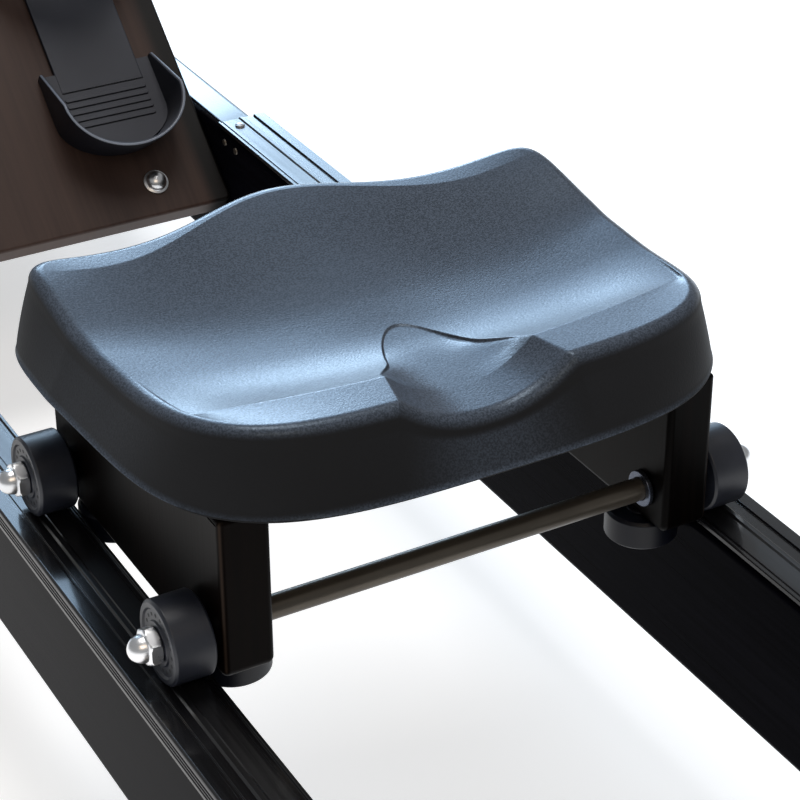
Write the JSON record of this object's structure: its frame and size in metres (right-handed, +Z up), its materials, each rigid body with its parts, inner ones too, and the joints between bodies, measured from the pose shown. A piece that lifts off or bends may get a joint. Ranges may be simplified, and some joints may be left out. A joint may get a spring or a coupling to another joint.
{
  "type": "water rowing machine",
  "caption": "Twin-rail water rowing machine: moulded sliding seat on rollers, footboard with heel cups, water tank with paddle, pull handle and monitor.",
  "frame": {"origin": "on the floor, midway along the rails and midway between them", "axes": "+Y along the rails towards the water tank, +Z up, +X to the right of a rower who faces the tank"},
  "size_m": [0.528, 2.1, 0.5495],
  "materials": {
    "rail_lacquer": "smooth black lacquer, semi-gloss",
    "cap_strip": "black extruded strip, glossy, with fine ridges",
    "seat_moulding": "slate-black moulded skin, fine pebble grain, satin",
    "stained_wood": "dark brown-black stain, satin",
    "board_wood": "reddish-brown stain, satin",
    "roller_plastic": "dark nylon, satin",
    "black_steel": "black oxide steel, satin",
    "chromed_steel": "bright, polished",
    "cup_plastic": "blue-black moulded plastic, satin",
    "webbing": "woven black webbing",
    "foot_rubber": "matte black rubber",
    "tank_shell": "clear polycarbonate, polished",
    "paddle_plastic": "dark grey moulded plastic",
    "grip_foam": "black foam rubber",
    "monitor_shell": "dark grey fine-textured plastic"
  },
  "bodies": {
    "frame": {"left_rail": "rail_lacquer", "right_rail": "rail_lacquer", "left_rail_cap": "cap_strip", "right_rail_cap": "cap_strip", "rear_leg": "stained_wood", "front_leg": "stained_wood", "rear_foot": "foot_rubber", "front_foot": "foot_rubber", "transport_axle": "black_steel", "lower_deck": "stained_wood", "upper_deck": "stained_wood", "rear_left_post": "stained_wood", "rear_right_post": "stained_wood", "front_left_post": "stained_wood", "front_right_post": "stained_wood", "footboard": "board_wood", "left_foot_strap": "webbing", "right_foot_strap": "webbing", "handle_rest": "black_steel", "tank_bowl": "tank_shell", "tank_lid": "tank_shell", "shaft_bearing": "black_steel", "drive_strap": "webbing", "guide_pulley_pin": "chromed_steel", "recoil_cord": "webbing", "monitor_arm": "monitor_shell"},
    "seat": {"seat_shell": "seat_moulding", "seat_base_plate": "black_steel", "left_side_block": "stained_wood", "right_side_block": "stained_wood", "rear_axle": "black_steel", "front_axle": "black_steel", "rear_left_axle_nut": "chromed_steel", "rear_right_axle_nut": "chromed_steel", "front_left_axle_nut": "chromed_steel", "front_right_axle_nut": "chromed_steel", "rear_left_guide_bolt": "chromed_steel", "rear_right_guide_bolt": "chromed_steel", "front_left_guide_bolt": "chromed_steel", "front_right_guide_bolt": "chromed_steel"},
    "rear_left_roller": {"rear_left_roller": "roller_plastic"},
    "rear_right_roller": {"rear_right_roller": "roller_plastic"},
    "front_left_roller": {"front_left_roller": "roller_plastic"},
    "front_right_roller": {"front_right_roller": "roller_plastic"},
    "rear_left_guide": {"rear_left_guide_roller": "roller_plastic"},
    "rear_right_guide": {"rear_right_guide_roller": "roller_plastic"},
    "front_left_guide": {"front_left_guide_roller": "roller_plastic"},
    "front_right_guide": {"front_right_guide_roller": "roller_plastic"},
    "left_heel": {"left_heel_slide": "cup_plastic"},
    "right_heel": {"right_heel_slide": "cup_plastic"},
    "drum": {"strap_drum": "paddle_plastic", "paddle_shaft": "chromed_steel", "paddle": "paddle_plastic"},
    "pulley": {"guide_pulley": "roller_plastic"},
    "handle": {"handle_bar": "black_steel", "left_grip": "grip_foam", "right_grip": "grip_foam"},
    "monitor": {"monitor": "monitor_shell"},
    "left_wheel": {"left_transport_wheel": "roller_plastic"},
    "right_wheel": {"right_transport_wheel": "roller_plastic"}
  },
  "joints": [
    {"name": "seat_slide", "type": "slide", "parent": "frame", "child": "seat", "axis": [0, 1, 0], "range_m": [-0.65, 0.34]},
    {"name": "rear_left_roller_spin", "type": "hinge", "parent": "seat", "child": "rear_left_roller", "pos_m": [-0.1487, -0.31, 0.2063], "axis": [1, 0, 0], "continuous": true},
    {"name": "rear_right_roller_spin", "type": "hinge", "parent": "seat", "child": "rear_right_roller", "pos_m": [0.1487, -0.31, 0.2063], "axis": [1, 0, 0], "continuous": true},
    {"name": "front_left_roller_spin", "type": "hinge", "parent": "seat", "child": "front_left_roller", "pos_m": [-0.1487, -0.147, 0.2063], "axis": [1, 0, 0], "continuous": true},
    {"name": "front_right_roller_spin", "type": "hinge", "parent": "seat", "child": "front_right_roller", "pos_m": [0.1487, -0.147, 0.2063], "axis": [1, 0, 0], "continuous": true},
    {"name": "rear_left_guide_spin", "type": "hinge", "parent": "seat", "child": "rear_left_guide", "pos_m": [-0.1167, -0.298, 0.1785], "axis": [0, 0, 1], "continuous": true},
    {"name": "rear_right_guide_spin", "type": "hinge", "parent": "seat", "child": "rear_right_guide", "pos_m": [0.1167, -0.298, 0.1785], "axis": [0, 0, 1], "continuous": true},
    {"name": "front_left_guide_spin", "type": "hinge", "parent": "seat", "child": "front_left_guide", "pos_m": [-0.1167, -0.159, 0.1785], "axis": [0, 0, 1], "continuous": true},
    {"name": "front_right_guide_spin", "type": "hinge", "parent": "seat", "child": "front_right_guide", "pos_m": [0.1167, -0.159, 0.1785], "axis": [0, 0, 1], "continuous": true},
    {"name": "left_heel_slide", "type": "slide", "parent": "frame", "child": "left_heel", "axis": [0, 0.749, 0.6626], "range_m": [-0.012, 0.06]},
    {"name": "right_heel_slide", "type": "slide", "parent": "frame", "child": "right_heel", "axis": [0, 0.749, 0.6626], "range_m": [-0.012, 0.06]},
    {"name": "handle_pull", "type": "slide", "parent": "frame", "child": "handle", "axis": [0, -0.9903, 0.1392], "range_m": [0, 1.25], "stiffness_N_per_m": 15, "springref_m": -0.4},
    {"name": "drum_spin", "type": "hinge", "parent": "frame", "child": "drum", "pos_m": [0, 0.793, 0.3688], "axis": [0, 0, 1], "continuous": true},
    {"name": "guide_pulley_spin", "type": "hinge", "parent": "frame", "child": "pulley", "pos_m": [0.0163, 0.566, 0.3738], "axis": [0, 0, 1], "continuous": true},
    {"name": "monitor_tilt", "type": "hinge", "parent": "frame", "child": "monitor", "pos_m": [0, 0.632, 0.4945], "axis": [1, 0, 0], "range_deg": [-20, 22]},
    {"name": "left_wheel_spin", "type": "hinge", "parent": "frame", "child": "left_wheel", "pos_m": [-0.1768, 1.01, 0.036], "axis": [1, 0, 0], "continuous": true},
    {"name": "right_wheel_spin", "type": "hinge", "parent": "frame", "child": "right_wheel", "pos_m": [0.1768, 1.01, 0.036], "axis": [1, 0, 0], "continuous": true}
  ],
  "couplings": [
    {"joint": "rear_left_roller_spin", "follows": "seat_slide", "rad_per_m": -47.6},
    {"joint": "rear_right_roller_spin", "follows": "seat_slide", "rad_per_m": -47.6},
    {"joint": "front_left_roller_spin", "follows": "seat_slide", "rad_per_m": -47.6},
    {"joint": "front_right_roller_spin", "follows": "seat_slide", "rad_per_m": -47.6},
    {"joint": "rear_left_guide_spin", "follows": "seat_slide", "rad_per_m": 52.6},
    {"joint": "rear_right_guide_spin", "follows": "seat_slide", "rad_per_m": -52.6},
    {"joint": "front_left_guide_spin", "follows": "seat_slide", "rad_per_m": 52.6},
    {"joint": "front_right_guide_spin", "follows": "seat_slide", "rad_per_m": -52.6},
    {"joint": "drum_spin", "follows": "handle_pull", "rad_per_m": -19.88},
    {"joint": "guide_pulley_spin", "follows": "handle_pull", "rad_per_m": 61.35}
  ]
}
